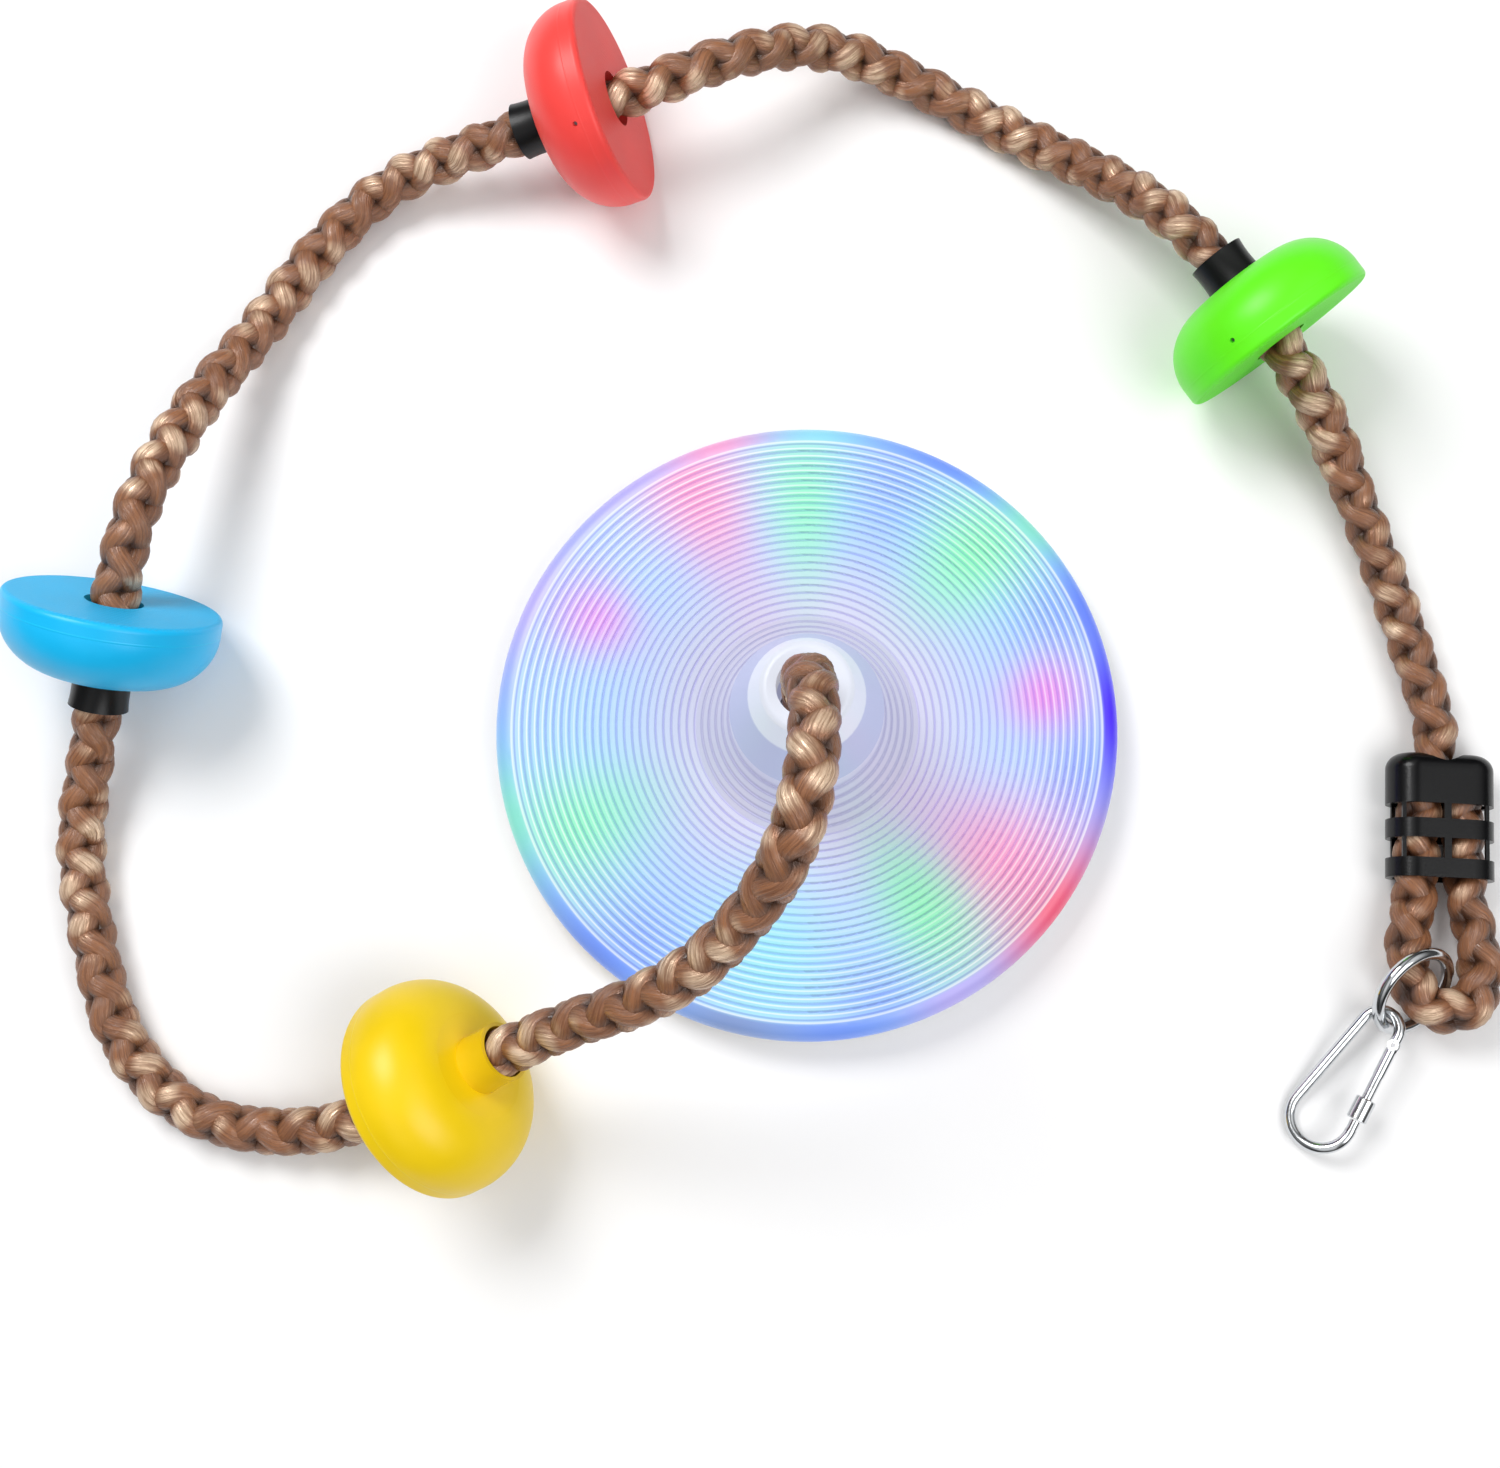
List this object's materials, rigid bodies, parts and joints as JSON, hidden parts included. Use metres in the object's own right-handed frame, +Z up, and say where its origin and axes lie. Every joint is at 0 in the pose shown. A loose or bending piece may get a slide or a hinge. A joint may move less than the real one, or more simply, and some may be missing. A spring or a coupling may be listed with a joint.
{
  "type": "light-up disc swing seat",
  "caption": "Round light-up swing seat on a brown climbing rope with domed foot platforms, a rope clamp, a steel ring and a screw-lock carabiner.",
  "frame": {"origin": "on the floor under the centre of the disc seat, at the underside of its feet", "axes": "+Z up along the seat axis; +X towards the side where the rope clamp and carabiner lie; +Y towards the red platform"},
  "size_m": [0.7092, 0.5799, 0.2094],
  "materials": {
    "shell_white": "translucent frosted",
    "base_white": "matt moulded",
    "seal": "matt",
    "screw_steel": "satin",
    "foot_rubber": "matt",
    "strip_board": "solder-resist white",
    "light_chip": "clear lens over phosphor",
    "board_green": "solder resist",
    "chip_black": "matt",
    "tray_black": "matt",
    "cell_wrap": "gloss sleeve",
    "contact_nickel": "bright plated",
    "button_grey": "soft touch",
    "rope_brown": "glossy twisted polypropylene",
    "platform_yellow": "satin moulded",
    "platform_blue": "satin moulded",
    "platform_red": "satin moulded",
    "platform_green": "satin moulded",
    "collar_black": "satin",
    "collar_yellow": "satin",
    "clamp_black": "satin moulded",
    "ring_steel": "bright zinc",
    "hook_steel": "bright zinc",
    "spring_steel": "drawn wire"
  },
  "bodies": {
    "seat": {"seat_top_shell": "shell_white", "seat_base_shell": "base_white", "shell_seal": "seal", "shell_screws": "screw_steel", "rubber_feet": "foot_rubber", "led_strip": "strip_board", "led_chips": "light_chip", "control_board": "board_green", "board_screws": "screw_steel", "controller_chip": "chip_black", "push_switch": "chip_black", "button_bezel": "base_white", "battery_tray": "tray_black", "batteries": "cell_wrap", "battery_contacts": "contact_nickel", "battery_door": "base_white", "battery_gasket": "seal", "battery_door_screws": "screw_steel"},
    "rope": {"rope": "rope_brown", "rope_knot": "rope_brown", "knot_washer": "screw_steel", "rope_eye": "rope_brown", "yellow_platform": "platform_yellow", "yellow_collar": "collar_yellow", "blue_platform": "platform_blue", "blue_collar": "collar_black", "red_platform": "platform_red", "red_collar": "collar_black", "green_platform": "platform_green", "green_collar": "collar_black", "platform_pins": "spring_steel", "clamp_cap": "clamp_black", "clamp_cage": "clamp_black", "clamp_rivets": "screw_steel"},
    "ring": {"steel_ring": "ring_steel"},
    "carabiner": {"carabiner_frame": "hook_steel", "gate_pin": "spring_steel"},
    "gate": {"gate": "hook_steel", "gate_spring": "spring_steel"},
    "lock_nut": {"lock_nut": "hook_steel"},
    "power_button": {"power_button": "button_grey"}
  },
  "joints": [
    {"name": "seat_swivel", "type": "hinge", "parent": "seat", "child": "rope", "pos_m": [0, 0, 0.0505], "axis": [0, 0, 1], "continuous": true},
    {"name": "ring_swing", "type": "hinge", "parent": "rope", "child": "ring", "pos_m": [0.28682, -0.12688, 0.01848], "axis": [-0.4687, 0.8765, -0.1095], "range_deg": [0, 12]},
    {"name": "carabiner_swing", "type": "hinge", "parent": "ring", "child": "carabiner", "pos_m": [0.27186, -0.14193, 0.01581], "axis": [-0.5911, 0.3546, 0.7245], "range_deg": [0, 35]},
    {"name": "gate_hinge", "type": "hinge", "parent": "carabiner", "child": "gate", "pos_m": [0.27541, -0.15195, 0.01846], "axis": [0.3792, -0.1093, -0.9188], "range_deg": [0, 25], "stiffness_Nm_per_rad": 0.03, "springref_deg": -17.19},
    {"name": "nut_travel", "type": "slide", "parent": "gate", "child": "lock_nut", "axis": [-0.4707, -0.8777, -0.0898], "range_m": [-0.007, 0.0035]},
    {"name": "button_press", "type": "slide", "parent": "seat", "child": "power_button", "axis": [0, 0, 1], "range_m": [0, 0.0008], "stiffness_N_per_m": 600, "springref_m": -0.001}
  ]
}
